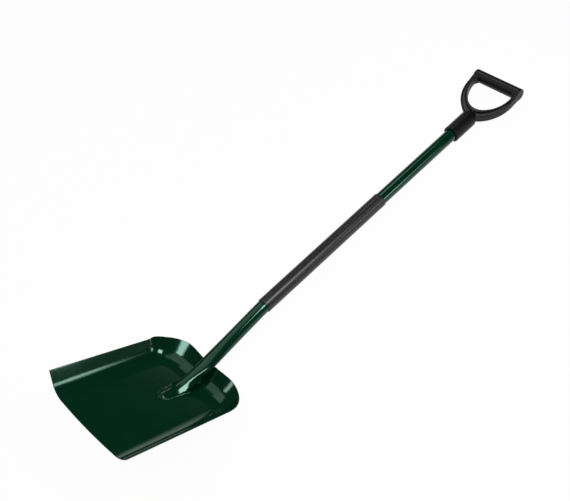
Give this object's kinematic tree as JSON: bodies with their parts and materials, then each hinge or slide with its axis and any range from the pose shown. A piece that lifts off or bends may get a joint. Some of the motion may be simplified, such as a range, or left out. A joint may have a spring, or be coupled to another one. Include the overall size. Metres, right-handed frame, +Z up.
{
  "type": "scoop shovel",
  "caption": "Square-mouth scoop shovel: pressed steel pan with raised walls, cranked tube shaft welded on its floor, plastic shaft sleeve and D-grip.",
  "frame": {"origin": "bottom centre of the bounding box of the tool as it lies, on the ground under its middle", "axes": "+Z up, +Y from the pan's mouth to the grip, +X to the right for someone looking along +Y"},
  "size_m": [0.254, 1.177, 0.1676],
  "materials": {
    "painted_steel": "gloss dark green",
    "painted_weld": "gloss dark green over a rippled bead",
    "sleeve_plastic": "satin dark grey",
    "grip_plastic": "satin black"
  },
  "bodies": {
    "root": {"pan": "painted_steel", "shaft": "painted_steel", "weld_left": "painted_weld", "weld_right": "painted_weld", "weld_tip": "painted_weld", "shaft_sleeve": "sleeve_plastic", "d_grip": "grip_plastic"}
  },
  "joints": []
}
